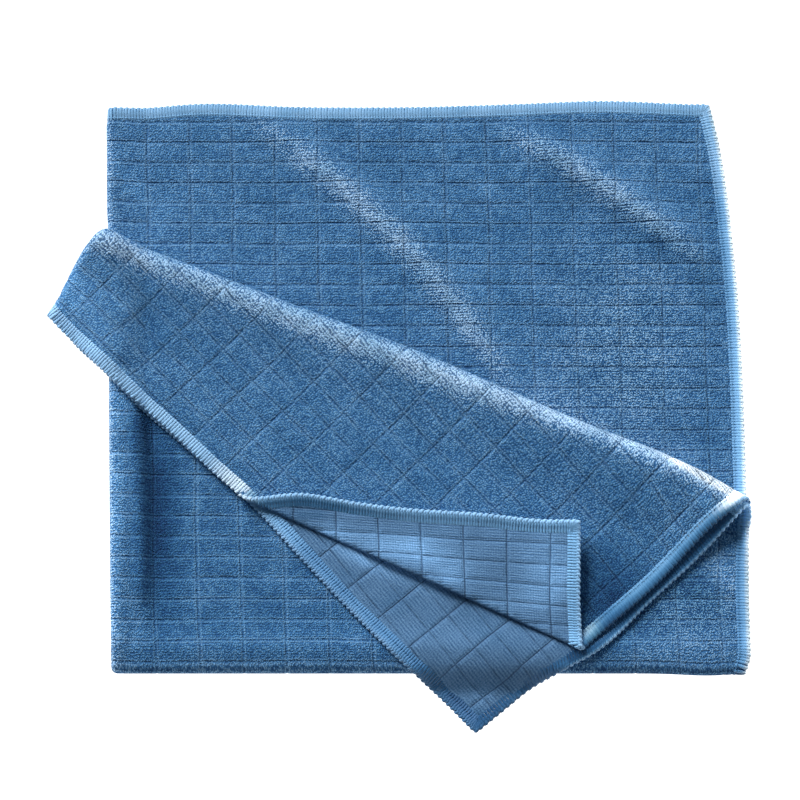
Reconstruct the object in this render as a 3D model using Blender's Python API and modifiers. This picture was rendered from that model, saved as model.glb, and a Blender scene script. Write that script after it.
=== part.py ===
"""A microfibre cloth of about 590 x 525 mm, hemmed all round, lying folded on a table.

The sheet is drawn flat first, with u to the right and v away from the viewer, from the point where its two
folds cross. The left half (u < 0) is turned over the right half, then the near half (v < 0) is turned under,
which gives a pile of four layers: 1 on top (u < 0, v > 0), 2 (u > 0, v > 0), 3 (u > 0, v < 0), and 4 on the
table (u < 0, v < 0). The far right corner of layers 1 and 2 is turned down over a diagonal roll, and the tip
of layer 2, which then lies on top, is turned back up as a lapel.

x and y below are plan places in the folded pile: x from its left fold and y from its near fold.
"""

import math

import bmesh
import bpy
import numpy as np
from mathutils import Vector

MM = 0.001

# The sheet. Its reaches are from the folds to the hems at their furthest.
HALF_WIDTH = 295.0 * MM
UPPER_REACH = 254.5 * MM
LOWER_REACH = 268.0 * MM
THICKNESS = 1.6 * MM
LAYER_PITCH = 2.3 * MM  # from the middle of one layer to the middle of the next
HALF_PITCH = LAYER_PITCH / 2

# Where the pile lies: the table is at z = 0, and the left fold leans as it runs away from the viewer.
LEFT_FOLD_X = -131.4 * MM
NEAR_FOLD_Y = -122.44 * MM
LEFT_FOLD_LEAN = 0.021

# The left fold is a soft bulge that closes to the layer pitch further in, and is pressed flat at the near fold.
LEFT_FOLD_RADIUS = 2.7 * MM
LEFT_FOLD_PRESSED = 0.6  # share of that radius left at the near fold
LEFT_FOLD_PRESSED_OVER = 45.0 * MM
LEFT_FOLD_SLOPE = 0.22  # radians
LEFT_FOLD_SETTLE = 14.0 * MM
LEFT_FOLD_WIDTH = 20.5 * MM  # how far in the bulge reaches, and how much of that is its trough
LEFT_FOLD_TROUGH = 3.5 * MM
# Layers 1 and 2 are not creased quite on the line of layers 3 and 4.
SKEW_OUT, SKEW_OUT_FROM, SKEW_OUT_OVER = -1.3 * MM, 150.0 * MM, 50.0 * MM
SKEW_IN, SKEW_IN_FROM, SKEW_IN_OVER = 11.8 * MM, 213.0 * MM, 50.0 * MM
SKEW_GONE = 140.0 * MM  # how far from the fold layer 1 has taken up that skew

# The diagonal roll, from the left fold to the right hem, over which layers 1 and 2 turn down.
ROLL_START = Vector((-4.5, 199.7)) * MM
ROLL_END = Vector((289.1, 71.7)) * MM
ROLL_RADIUS_START, ROLL_RADIUS_END = 4.2 * MM, 5.6 * MM
ROLL_SLOPE = 0.22
ROLL_SETTLE = 40.0 * MM
ROLL_BOW_REACH = 42.0 * MM
TURNED_DOWN = 0.9 * math.pi  # what has turned through more than this is part of the flap
ROLL_BOW = (  # place along the roll, how far it bows out
    (0, -1.4), (18, -0.2), (48, 1.5), (96, 3.0), (147, 5.2), (246, 4.6), (280, 5.8), (300, 5.5), (316, 3.4),
    (332, 1.0),
)

# The lapel: the tip of layer 2 turned back up over this crease.
CREASE_START = Vector((69.6, 78.0)) * MM
CREASE_END = Vector((215.0, 13.4)) * MM
CREASE_RADIUS_START, CREASE_RADIUS_END = 2.0 * MM, 3.4 * MM
CREASE_SLOPE = 0.15
CREASE_SETTLE = 25.0 * MM
LAPEL_RISE = 1.3 * LAYER_PITCH

# The tip of layer 1, which stays down, has slid out from under layer 2.
TIP_SLID = Vector((-10.7, -3.1)) * MM
TIP_DISTANCE = 49.4 * MM  # from the crease to the tip

# What overhangs the pile droops towards the table.
LEFT_DROOP, LEFT_DROOP_OVER = 10.0 * MM, 27.0 * MM
NEAR_DROOP, NEAR_DROOP_OVER = 8.7 * MM, 12.0 * MM
DROOP_STARTS_INSIDE = 3.0 * MM

# The hems, as cut: how far the sheet reaches from the folds. Columns: place along the fold, reach.
UPPER_HEM_RIGHT = (  # layer 2, along u
    (0, 253.8), (35, 253.4), (60, 252.9), (90, 250.6), (115, 249.6), (140, 248.2), (165, 251.6), (190, 249.2),
    (215, 247.8), (250, 247.3), (280, 245.6), (294, 246.0),
)
UPPER_HEM_LEFT = (  # layer 1, along -u
    (0, 253.8), (35, 253.4), (60, 252.9), (90, 250.6), (115, 248.0), (145, 245.2), (175, 244.6), (205, 243.5),
    (244, 241.3), (270, 238.4), (294, 236.6),
)
LOWER_HEM = (  # layers 3 and 4, along u either way
    (0, 266.9), (18, 267.4), (45, 269.4), (92, 267.9), (153, 267.9), (200, 269.3), (243, 270.8), (285, 269.2),
)
RIGHT_HEM_1 = (
    (0, 290.8), (6, 293.2), (14, 293.6), (60, 295.2), (108, 297.6), (151, 296.9), (190, 297.2), (210, 294.0),
    (225, 291.2), (238, 291.2),
)
RIGHT_HEM_2 = (
    (0, 290.8), (6, 293.2), (14, 293.6), (60, 295.0), (95, 295.1), (123, 293.8), (148, 293.1), (242, 292.9),
)
RIGHT_HEM_3 = (
    (0, 290.8), (6, 293.2), (14, 293.6), (60, 295.0), (104, 295.7), (150, 295.6), (175, 295.1), (199, 293.7),
    (223, 292.0), (247, 289.2), (269, 284.8),
)
CORNER_CUT = 1.5 * MM

# Soft ridges (height > 0) and troughs. Columns: start x, y, end x, y, sideways bow, half width, height.
PILE_RIDGES = (
    (70.0, 261.0, 187.0, 136.0, 10.5, 7.5, 2.2),
    (186.0, 262.0, 280.0, 193.0, 4.0, 7.5, 3.0),
    (205.0, 222.0, 272.0, 189.0, 3.0, 10.0, -0.6),
    (-40.0, 10.0, 340.0, 10.0, 0.0, 6.0, 1.2),
)
FLAP_RIDGES = (
    (-2.0, 186.0, 18.0, 150.0, 2.0, 7.0, -0.5),
    (-14.0, 176.0, 6.0, 140.0, 0.0, 8.0, 1.4),
    (20.0, 184.0, 34.0, 148.0, 0.0, 8.0, 0.8),
)

RIDGE_RUN_OUT, RIDGE_FADE = 0.1, 0.35  # shares of its length: how far it runs past each end, and fades over

# The mesh: the spacing of its lines, and where more of them cross a bend or follow a ridge. Angles turned
# through are in radians, and places across a ridge in half widths.
MESH_SPACING = 19.0 * MM
HEM_WIDTH = 6.2 * MM
LEFT_BEND_LINES = 8
NEAR_BEND_LINES = 8
ROLL_TURNS = (0.0, 0.42, 0.84, 1.26, 1.68, 2.1, 2.52, 2.94, 3.36, 4.9, 6.4, 7.6, 9.0)
CREASE_TURNS = (0.0, 0.55, 1.1, 1.65, 2.2, 2.75, 3.3, 8.2, 9.6)
RIDGE_LINES = (-1.7, -0.85, 0.0, 0.85, 1.7)
LEFT_DROOP_LINES = tuple(x * MM for x in (3.0, -5.0, -13.0, -21.0))
NEAR_RIDGE_ROWS = tuple(y * MM for y in (6.7, 10.1, 13.5, 18.0))
NEAR_DROOP_LINES = tuple(y * MM for y in (3.0, 0.0, -3.0, -6.0, -9.0))
SNAP = 0.1  # of an edge's length: a line this near an edge's end passes through it

COLOUR = (0.062, 0.195, 0.400, 1.0)
ROUGHNESS = 0.9


def ease(x):
    """0 up to 1 as x goes from 0 to 1, level at both ends."""
    x = np.clip(x, 0.0, 1.0)
    return x * x * (3.0 - 2.0 * x)


def read(table, x):
    """A smooth curve through the table's rows, whose columns are in mm, read at x in metres."""
    places, values = np.array(table).T * MM
    slopes = np.gradient(values, places)
    x = np.clip(x, places[0], places[-1])
    i = np.clip(np.searchsorted(places, x) - 1, 0, len(places) - 2)
    gap = places[i + 1] - places[i]
    f = (x - places[i]) / gap
    return (
        values[i] * (1 + 2 * f) * (1 - f) ** 2
        + values[i + 1] * f * f * (3 - 2 * f)
        + gap * f * (1 - f) * (slopes[i] * (1 - f) - slopes[i + 1] * f)
    )


def turn_over(s, radius, slope, rise, settle):
    """A strip that lies flat up to s = 0, bends up and back over, and comes down at a slope to lie flat again,
    rise above where it was. Gives its place forwards and up, and the angle that it has turned through."""
    bend = (math.pi + slope) * radius
    fall = (radius * (1 + math.cos(slope)) - rise - settle * (1 - math.cos(slope))) / math.sin(slope)
    fall = np.maximum(fall, 0.0)
    turned = np.clip(s / radius, 0.0, math.pi + slope)
    down = np.clip(s - bend, 0.0, fall)
    level = np.clip(s - bend - fall, 0.0, slope * settle)
    angle = turned - level / settle
    forwards = (
        np.minimum(s, 0.0)
        + radius * np.sin(turned)
        - math.cos(slope) * down
        - settle * (math.sin(slope) - np.sin(slope - level / settle))
        - np.maximum(s - bend - fall - slope * settle, 0.0)
    )
    up = (
        radius * (1 - np.cos(turned))
        - math.sin(slope) * down
        - settle * (np.cos(slope - level / settle) - math.cos(slope))
    )
    return forwards, up, angle


def left_fold_radius(y):
    return LEFT_FOLD_RADIUS * (LEFT_FOLD_PRESSED + (1 - LEFT_FOLD_PRESSED) * ease(np.abs(y) / LEFT_FOLD_PRESSED_OVER))


def pair_gap(x, y):
    """How far apart the two layers of a folded pair are, at a distance x from the fold's outer edge."""
    radius = left_fold_radius(y)
    top = radius * (1 + math.cos(LEFT_FOLD_SLOPE))
    curve = LEFT_FOLD_SETTLE
    fall = (top - LAYER_PITCH - curve * (1 - math.cos(LEFT_FOLD_SLOPE))) / math.sin(LEFT_FOLD_SLOPE)
    fall = np.maximum(fall, 0.0)
    inwards = np.maximum(x - radius, 0.0)
    round_top = radius + np.sqrt(np.maximum(radius**2 - inwards**2, 0.0))
    slope_x = radius * math.sin(LEFT_FOLD_SLOPE)
    slope_end = slope_x + fall * math.cos(LEFT_FOLD_SLOPE)
    on_slope = top - math.tan(LEFT_FOLD_SLOPE) * (inwards - slope_x)
    sine = np.clip(math.sin(LEFT_FOLD_SLOPE) - (inwards - slope_end) / curve, 0.0, math.sin(LEFT_FOLD_SLOPE))
    on_curve = (
        top - math.sin(LEFT_FOLD_SLOPE) * fall - curve * (np.sqrt(1 - sine**2) - math.cos(LEFT_FOLD_SLOPE))
    )
    return np.where(inwards < slope_x, round_top, np.where(inwards < slope_end, on_slope, on_curve))


def along_ridge(x, y, x0, y0, x1, y1, bow):
    """How far along a ridge a place is, from 0 to 1, and its distance sideways from the ridge's bowed line."""
    length = math.hypot(x1 - x0, y1 - y0)
    along = ((x - x0) * (x1 - x0) + (y - y0) * (y1 - y0)) / length**2
    across = ((y - y0) * (x1 - x0) - (x - x0) * (y1 - y0)) / length
    return along, across - 4 * bow * along * (1 - along)


def ridges(x, y, table):
    """The sum of the table's ridges and troughs at a place in the pile."""
    total = np.zeros_like(x)
    for *line, half_width, height in np.array(table) * MM:
        along, across = along_ridge(x, y, *line)
        fade = ease((along + RIDGE_RUN_OUT) / RIDGE_FADE) * ease((1 + RIDGE_RUN_OUT - along) / RIDGE_FADE)
        total = total + height * fade * np.exp(-((across / half_width) ** 2))
    return total


def droop(x, y):
    left = LEFT_DROOP * ease((DROOP_STARTS_INSIDE - x) / LEFT_DROOP_OVER)
    near = NEAR_DROOP * ease((DROOP_STARTS_INSIDE - y) / NEAR_DROOP_OVER)
    return left + near


def pair_height(x, y, flap):
    """The middle of layers 1 and 2 in the pile, carried on over the edge as far as a flap on it droops."""
    base = THICKNESS / 2 + LAYER_PITCH + 1.5 * pair_gap(np.maximum(x, 0.0), y)
    return base + ridges(x, y, PILE_RIDGES) + flap * (ridges(x, y, FLAP_RIDGES) - droop(x, y))


def across_line(x, y, start, end):
    """Distances of a place from a line through start, to its far side, and along it."""
    along = (end - start).normalized()
    out = Vector((-along.y, along.x))
    return (x - start.x) * out.x + (y - start.y) * out.y, (x - start.x) * along.x + (y - start.y) * along.y


def from_line(out_by, along_by, start, end):
    along = (end - start).normalized()
    out = Vector((-along.y, along.x))
    return start.x + out_by * out.x + along_by * along.x, start.y + out_by * out.y + along_by * along.y


def quarter(u, v):
    """The sheet folded twice. Gives plan x and y, height, the offset from the middle of its pair, and the gap."""
    crease = SKEW_OUT * ease((v - SKEW_OUT_FROM) / SKEW_OUT_OVER) + SKEW_IN * ease((v - SKEW_IN_FROM) / SKEW_IN_OVER)
    radius = left_fold_radius(v)
    s = math.pi / 2 * radius - (u - crease)
    forwards, over, _ = turn_over(s, radius, LEFT_FOLD_SLOPE, LAYER_PITCH, LEFT_FOLD_SETTLE)
    from_fold = radius - forwards
    x = from_fold + crease * (1 - 2 * np.clip(-u / SKEW_GONE, 0.0, 1.0))
    gap = pair_gap(from_fold, v)
    turned = np.clip(v / LAYER_PITCH, -math.pi / 2, math.pi / 2)
    out = HALF_PITCH + LAYER_PITCH * over / gap
    y = 1.5 * LAYER_PITCH - out * np.cos(turned) + np.maximum(np.abs(v) - math.pi / 2 * LAYER_PITCH, 0.0)
    z = THICKNESS / 2 + HALF_PITCH + gap + (HALF_PITCH + over) * np.sin(turned)
    z = z + ridges(x, y, PILE_RIDGES) * np.clip((z - THICKNESS / 2) / LAYER_PITCH, 0.0, 1.0)
    return x, y, z, over - gap / 2, gap


def roll_radius(t):
    share = np.clip(t / (ROLL_END - ROLL_START).length, 0.0, 1.0)
    return ROLL_RADIUS_START + (ROLL_RADIUS_END - ROLL_RADIUS_START) * share


def crease_radius(t):
    share = np.clip(t / (CREASE_END - CREASE_START).length, 0.0, 1.0)
    return CREASE_RADIUS_START + (CREASE_RADIUS_END - CREASE_RADIUS_START) * share


def turned_down(x, y, z, offset, gap):
    """Layers 1 and 2 taken over the diagonal roll. Gives plan x and y, height, and the angle turned."""
    s, t = across_line(x, y, ROLL_START, ROLL_END)
    radius = roll_radius(t)
    bow = read(ROLL_BOW, t) * (1 - ease(np.abs(s - math.pi / 2 * radius) / ROLL_BOW_REACH))
    forwards, up, angle = turn_over(s, radius, ROLL_SLOPE, 2 * LAYER_PITCH, ROLL_SETTLE)
    new_x, new_y = from_line(forwards - offset * np.sin(angle) + bow, t, ROLL_START, ROLL_END)
    flap = (1 - np.cos(angle)) / 2
    spare = (pair_gap(np.maximum(new_x, 0.0), new_y) + gap) / 2 - LAYER_PITCH
    height = pair_height(new_x, new_y, flap) + up + offset * np.cos(angle) + spare * flap
    return new_x, new_y, np.where(s > 0, height, z), angle


def lay(u, v):
    """Where each point (u, v) of the flat sheet comes to lie."""
    x, y, z, offset, gap = quarter(u, v)
    upper = v > 2 * LAYER_PITCH
    down_x, down_y, down_z, angle = turned_down(x, y, z, offset, gap)
    x, y, z = (np.where(upper, new, old) for new, old in ((down_x, x), (down_y, y), (down_z, z)))
    flap = upper & (angle > TURNED_DOWN)
    s, t = across_line(x, y, CREASE_START, CREASE_END)
    past = np.maximum(-s, 0.0)
    # Layer 1 under the crease slides out.
    low = flap & (offset > 0) & (past > 0)
    slid_x = x + past / TIP_DISTANCE * TIP_SLID.x
    slid_y = y + past / TIP_DISTANCE * TIP_SLID.y
    slid_z = pair_height(slid_x, slid_y, 1.0) + 2 * LAYER_PITCH - offset
    # Layer 2 turns back up.
    high = flap & (offset <= 0) & (past > 0)
    forwards, up, _ = turn_over(past, crease_radius(t), CREASE_SLOPE, LAPEL_RISE, CREASE_SETTLE)
    back_x, back_y = from_line(-forwards, t, CREASE_START, CREASE_END)
    back_z = pair_height(back_x, back_y, 1.0) + 2 * LAYER_PITCH - offset + up
    x = np.where(low, slid_x, np.where(high, back_x, x))
    y = np.where(low, slid_y, np.where(high, back_y, y))
    z = np.where(low, slid_z, np.where(high, back_z, z))
    return LEFT_FOLD_X + x - LEFT_FOLD_LEAN * y, NEAR_FOLD_Y + y, z


def as_cut(across, up):
    """Where a place in a square, each of whose coordinates runs from -1 to 1, comes in the sheet as cut."""
    u, v = across * HALF_WIDTH, up * np.where(up < 0, LOWER_REACH, UPPER_REACH)
    upper = np.where(u > 0, read(RIGHT_HEM_2, v), read(RIGHT_HEM_1, v))
    right = np.where(v < 0, read(RIGHT_HEM_3, -v), upper)
    far = np.where(u > 0, read(UPPER_HEM_RIGHT, u), read(UPPER_HEM_LEFT, -u))
    far = np.where(v < 0, read(LOWER_HEM, np.abs(u)), far)
    corner = np.where((np.abs(across) == 1) & (np.abs(up) == 1), CORNER_CUT, 0.0)
    return across * (right - corner), up * (far - corner)


def spaced(least, most):
    return np.linspace(least, most, math.ceil((most - least) / MESH_SPACING) + 1)


def mesh_lines():
    """The grid's columns and rows, as shares of the sheet's reach."""
    half_turn = math.pi / 2 * LEFT_FOLD_RADIUS
    left_bend = np.linspace(-half_turn - LEFT_FOLD_SLOPE * LEFT_FOLD_RADIUS, half_turn, LEFT_BEND_LINES)
    near_bend = np.linspace(-math.pi / 2, math.pi / 2, NEAR_BEND_LINES) * LAYER_PITCH
    side = HALF_WIDTH - HEM_WIDTH
    columns = np.concatenate([
        [-HALF_WIDTH], spaced(-side, -LEFT_FOLD_WIDTH), [-LEFT_FOLD_WIDTH + LEFT_FOLD_TROUGH], left_bend,
        spaced(LEFT_FOLD_WIDTH, side), [HALF_WIDTH],
    ])
    near_rows = np.concatenate([near_bend[near_bend > 0], np.array(NEAR_RIDGE_ROWS)])
    rows_down = np.concatenate([near_rows, spaced(near_rows[-1], LOWER_REACH - HEM_WIDTH)[1:], [LOWER_REACH]])
    rows_up = np.concatenate([near_rows, spaced(near_rows[-1], UPPER_REACH - HEM_WIDTH)[1:], [UPPER_REACH]])
    rows = np.concatenate([-rows_down[::-1] / LOWER_REACH, rows_up / UPPER_REACH])
    return columns / HALF_WIDTH, rows


def flat_sheet():
    columns, rows = mesh_lines()
    across, up = np.meshgrid(columns, rows)
    u, v = as_cut(across, up)
    sheet = bmesh.new()
    grid = [[sheet.verts.new((a, b, 0.0)) for a, b in zip(*row)] for row in zip(u, v)]
    for lower, upper in zip(grid, grid[1:]):
        for i in range(len(columns) - 1):
            sheet.faces.new((lower[i], lower[i + 1], upper[i + 1], upper[i]))
    return sheet


def flat_places(sheet):
    return np.array([vert.co.xy for vert in sheet.verts]).T


def cut_along(sheet, measure, levels):
    """Adds a mesh line wherever measure(u, v) passes a level. It leaves alone places where measure is NaN."""
    for level in levels:
        values = measure(*flat_places(sheet)) - level
        value = dict(zip(sheet.verts, values))
        crossed = [edge for edge in sheet.edges if value[edge.verts[0]] * value[edge.verts[1]] < 0]
        on_line = set()
        for edge in crossed:
            start, end = edge.verts
            share = value[start] / (value[start] - value[end])
            if share < SNAP or share > 1 - SNAP:
                on_line.add(start if share < SNAP else end)
            else:
                on_line.add(bmesh.utils.edge_split(edge, start, share)[1])
        for face in list(sheet.faces):
            ends = [vert for vert in face.verts if vert in on_line]
            if len(ends) == 2 and not any(edge.other_vert(ends[0]) == ends[1] for edge in ends[0].link_edges):
                bmesh.utils.face_split(face, *ends)


def roll_turn(u, v):
    x, y, *_ = quarter(u, v)
    s, t = across_line(x, y, ROLL_START, ROLL_END)
    return np.where(v > 2 * LAYER_PITCH, s / roll_radius(t), np.nan)


def pile_place(u, v):
    """Plan place where layer 3 shows beyond the roll."""
    x, y, *_ = quarter(u, v)
    shown = (u > 0) & (v < 0)
    return np.where(shown, x, np.nan), y


def flap_place(u, v):
    """Plan place in the part turned down over the roll."""
    x, y, angle = (turned_down(*quarter(u, v))[i] for i in (0, 1, 3))
    return np.where((v > 2 * LAYER_PITCH) & (angle > TURNED_DOWN), x, np.nan), y


def crease_turn(u, v):
    x, y = flap_place(u, v)
    s, t = across_line(x, y, CREASE_START, CREASE_END)
    return np.where(u > 0, -s / crease_radius(t), np.nan)


def ridge_measure(ridge, place):
    def measure(u, v):
        along, across = along_ridge(*place(u, v), *np.array(ridge[:5]) * MM)
        near = (along > -RIDGE_RUN_OUT) & (along < 1 + RIDGE_RUN_OUT)
        return np.where(near, across / (ridge[5] * MM), np.nan)

    return measure


def cloth():
    sheet = flat_sheet()
    cut_along(sheet, roll_turn, ROLL_TURNS)
    cut_along(sheet, crease_turn, CREASE_TURNS)
    cut_along(sheet, lambda u, v: flap_place(u, v)[0], LEFT_DROOP_LINES)
    cut_along(sheet, lambda u, v: flap_place(u, v)[1], NEAR_DROOP_LINES)
    for ridge in PILE_RIDGES:
        cut_along(sheet, ridge_measure(ridge, pile_place), RIDGE_LINES)
    for ridge in FLAP_RIDGES:
        cut_along(sheet, ridge_measure(ridge, flap_place), RIDGE_LINES)
    bmesh.ops.triangulate(sheet, faces=sheet.faces[:])
    for vert, place in zip(sheet.verts, np.transpose(lay(*flat_places(sheet)))):
        vert.co = place
    mesh = bpy.data.meshes.new("cloth")
    sheet.to_mesh(mesh)
    sheet.free()
    return mesh


def fabric():
    material = bpy.data.materials.new("blue_microfibre")
    material.use_nodes = True
    shader = material.node_tree.nodes["Principled BSDF"]
    shader.inputs["Base Color"].default_value = COLOUR
    shader.inputs["Roughness"].default_value = ROUGHNESS
    return material


for old in list(bpy.data.objects):
    bpy.data.objects.remove(old)
collection = bpy.data.collections.new("microfibre_cloth")
bpy.context.scene.collection.children.link(collection)
cloth_object = bpy.data.objects.new("cloth", cloth())
cloth_object.data.materials.append(fabric())
collection.objects.link(cloth_object)
thicken = cloth_object.modifiers.new("thickness", "SOLIDIFY")
thicken.thickness = THICKNESS
thicken.offset = 0.0
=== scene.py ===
"""The looks of a folded microfibre cloth: the hemmed sheet itself, its overlock stitching, light and camera.

The sheet is drawn flat first, with u to the right and v away from the viewer, from the point where its two
folds cross, and is then laid as the CAD solid lies: four layers, 1 on top (u < 0, v > 0), 2 (u > 0, v > 0),
3 (u > 0, v < 0), and 4 on the table (u < 0, v < 0). Its face is looped pile and its back is smooth. The face
is outside, so it shows everywhere but on the lapel and on the corner that has slid out below it.
"""

import math

import bpy
import numpy as np
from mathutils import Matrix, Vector
from mathutils.geometry import delaunay_2d_cdt


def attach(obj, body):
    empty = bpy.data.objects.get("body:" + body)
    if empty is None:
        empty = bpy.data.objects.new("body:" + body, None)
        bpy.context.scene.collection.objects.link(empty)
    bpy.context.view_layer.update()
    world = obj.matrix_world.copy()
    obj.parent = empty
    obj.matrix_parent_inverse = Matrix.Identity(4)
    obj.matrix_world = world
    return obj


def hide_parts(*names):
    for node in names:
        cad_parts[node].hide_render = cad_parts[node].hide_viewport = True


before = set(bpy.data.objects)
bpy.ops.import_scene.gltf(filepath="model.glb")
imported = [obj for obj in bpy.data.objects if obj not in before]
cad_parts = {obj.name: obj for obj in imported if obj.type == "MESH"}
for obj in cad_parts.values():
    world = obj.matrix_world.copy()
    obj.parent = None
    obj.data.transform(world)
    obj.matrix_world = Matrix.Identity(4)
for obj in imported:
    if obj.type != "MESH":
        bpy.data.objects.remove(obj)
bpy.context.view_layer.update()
scene = bpy.context.scene

MM = 0.001

# ---- The sheet and how it is folded, as in the CAD solid ----
THICKNESS = 1.6 * MM
LAYER_PITCH = 2.3 * MM
HALF_PITCH = LAYER_PITCH / 2
HALF_WIDTH = 295 * MM
UPPER_REACH = 254.5 * MM
LOWER_REACH = 268 * MM
LEFT_X = -131.4 * MM
NEAR_Y = -122.44 * MM
LEFT_LEAN = 0.021
LEFT_RADIUS = 2.7 * MM
LEFT_PRESSED = 0.6
LEFT_PRESSED_RUN = (0, 45)
LEFT_SLOPE = 0.22
LEFT_SETTLE = 14 * MM
# A RUN gives where something starts and over what distance it rises, in mm.
SKEW_OUT, SKEW_OUT_RUN = -1.3 * MM, (150, 50)
SKEW_IN, SKEW_IN_RUN = 11.8 * MM, (213, 50)
SKEW_GONE = 140 * MM
ROLL = (Vector((-4.5, 199.7)) * MM, Vector((289.1, 71.7)) * MM)
ROLL_RADIUS_START, ROLL_RADIUS_END = 4.2 * MM, 5.6 * MM
ROLL_SLOPE = 0.22
ROLL_SETTLE = 40 * MM
ROLL_BOW_REACH = 42 * MM
TURNED_DOWN = 0.9 * math.pi
ROLL_BOW = (
    (0, -0.4), (18, 0.3), (48, 1.6), (96, 3), (147, 5.2), (246, 4.6), (280, 5.8), (300, 5.5), (316, 3.4),
    (332, 1),
)
CREASE = (Vector((69.04, 76.74)) * MM, Vector((213.96, 11.07)) * MM)
CREASE_RADIUS_START, CREASE_RADIUS_END = 0.62 * MM, 0.85 * MM
CREASE_SLOPE = 0.15
CREASE_SETTLE = 25 * MM
LAPEL_RISE = 1.15 * LAYER_PITCH
LAPEL_LEAST_RISE = 1 * MM
TIP_SLID = Vector((-10.7, -3.1)) * MM
TIP_DISTANCE = 49.4 * MM
LEFT_DROOP, LEFT_DROOP_RUN = 10 * MM, (-3, 27)
NEAR_DROOP, NEAR_DROOP_RUN = 8.7 * MM, (-3, 12)
# The hem's reach from the folds in mm: places along each run of it, and how far out it lies there.
UPPER_HEM_RIGHT = (
    (0, 252.6), (9, 253.6), (35, 253.4), (60, 252.9), (90, 250.6), (115, 249.6), (140, 248.2), (165, 251.6),
    (190, 249.2), (215, 247.8), (250, 247.3), (280, 245.6), (294, 246),
)
UPPER_HEM_LEFT = (
    (0, 252.6), (9, 253.6), (35, 253.4), (60, 252.9), (90, 250.8), (115, 249.2), (145, 246.7), (175, 245.6),
    (205, 244.3), (244, 241.5), (270, 238.4), (294, 236.6),
)
LOWER_HEM = (
    (0, 266.9), (18, 267.4), (45, 269.4), (92, 267.9), (153, 267.9), (200, 269.3), (243, 270.8), (285, 269.2),
)
RIGHT_HEM_1 = (
    (0, 290.8), (6, 293.2), (14, 293.6), (60, 295.2), (108, 297.6), (151, 297.2), (190, 297.9), (210, 294.8),
    (225, 292), (238, 291.9),
)
RIGHT_HEM_2 = (
    (0, 290.8), (6, 293.2), (14, 293.6), (60, 295), (79, 295), (91, 293.4), (104, 292.2), (122, 292.4),
    (140, 293.3), (158, 293.2), (176, 292.9), (242, 292.9),
)
RIGHT_HEM_3 = (
    (0, 290.8), (6, 293.2), (14, 293.6), (60, 295), (104, 295.7), (150, 295.6), (175, 295.1), (199, 293.7),
    (223, 292), (247, 289.2), (269, 284.8),
)
# Ridges, and troughs where the height is negative, in plan mm: both ends, bow, half width and height.
PILE_RIDGES = (
    (70, 261, 187.2, 133, 9.9, 7, 2.6), (189, 257, 280, 192, 3.2, 7, 3.3), (205, 222, 272, 189, 3, 10, -0.6),
    (-40, 11, 340, 11, 0, 6.5, 1.8), (13.6, 16, 10.2, 132, -1.2, 3.9, 3.4),
    (284, 182, 192, 252, -4, 14, 1.2),
)
FLAP_RIDGES = (
    (-2, 186, 18, 150, 2, 7, -0.5), (-14, 176, 6, 140, 0, 8, 2), (20, 184, 34, 148, 0, 8, 1.4),
)
RIDGE_RUN_OUT, RIDGE_FADE = 0.1, 0.35
LAPEL_RIDGES = ((114, 56, 163, 34, 0, 5.5, 2.6),)
LAPEL_CURL, LAPEL_CURL_CREST, LAPEL_CURL_HALF = 2.3 * MM, 0.4 * MM, 3.6 * MM  # along its far hem
LAPEL_LIFT, LAPEL_LIFT_RUN, LAPEL_LIFT_PAST = 4.5 * MM, (182, 34), (0, 40)
CREASE_SINK, CREASE_SINK_HALF = 0.9 * MM, 9 * MM
CREASE_PRESSED = 0.3 * MM  # off each face
LAPEL_RISES_OVER = 30 * MM
LAPEL_SHORTER_START, LAPEL_SHORTER_END, LAPEL_SHORTER_OVER = 1.57 * MM, 2.9 * MM, 30 * MM
END_LIFT, END_FROM, END_OVER, END_RAMP = 4.2 * MM, 266 * MM, 42 * MM, 13 * MM
END_FLAT, END_DECAY, END_TIGHTER = 3 * MM, 30 * MM, 1.6 * MM
LEFT_BOW, LEFT_BOW_RUN, LEFT_BOW_BACK = -1 * MM, (195, 25), (256, 12)
NEAR_BULGE, NEAR_BULGE_X, NEAR_BULGE_HALF, NEAR_BULGE_REACH = 0.9 * MM, 272 * MM, 15 * MM, 12 * MM


def ease(x):
    """0 up to 1 as x goes from 0 to 1, level at both ends."""
    x = np.clip(x, 0.0, 1.0)
    return x * x * (3.0 - 2.0 * x)


def rises(x, start, over):
    """0 up to the start, rising to 1 over a distance past it, both in mm."""
    return ease((x - start * MM) / (over * MM))


def bell(x, middle, half):
    """1 in the middle, and about a third at a distance of half from it."""
    return np.exp(-(((x - middle) / half) ** 2))


def between(low, high, share):
    """The value that lies a share of the way from low to high."""
    return low + (high - low) * share


def read(table, x):
    """A smooth curve through the table's rows, whose columns are in mm, read at x in metres."""
    places, values = np.array(table).T * MM
    slopes = np.gradient(values, places)
    x = np.clip(x, places[0], places[-1])
    i = np.clip(np.searchsorted(places, x) - 1, 0, len(places) - 2)
    gap = places[i + 1] - places[i]
    f = (x - places[i]) / gap
    return (
        values[i] * (1 + 2 * f) * (1 - f) ** 2
        + values[i + 1] * f * f * (3 - 2 * f)
        + gap * f * (1 - f) * (slopes[i] * (1 - f) - slopes[i + 1] * f)
    )


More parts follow.
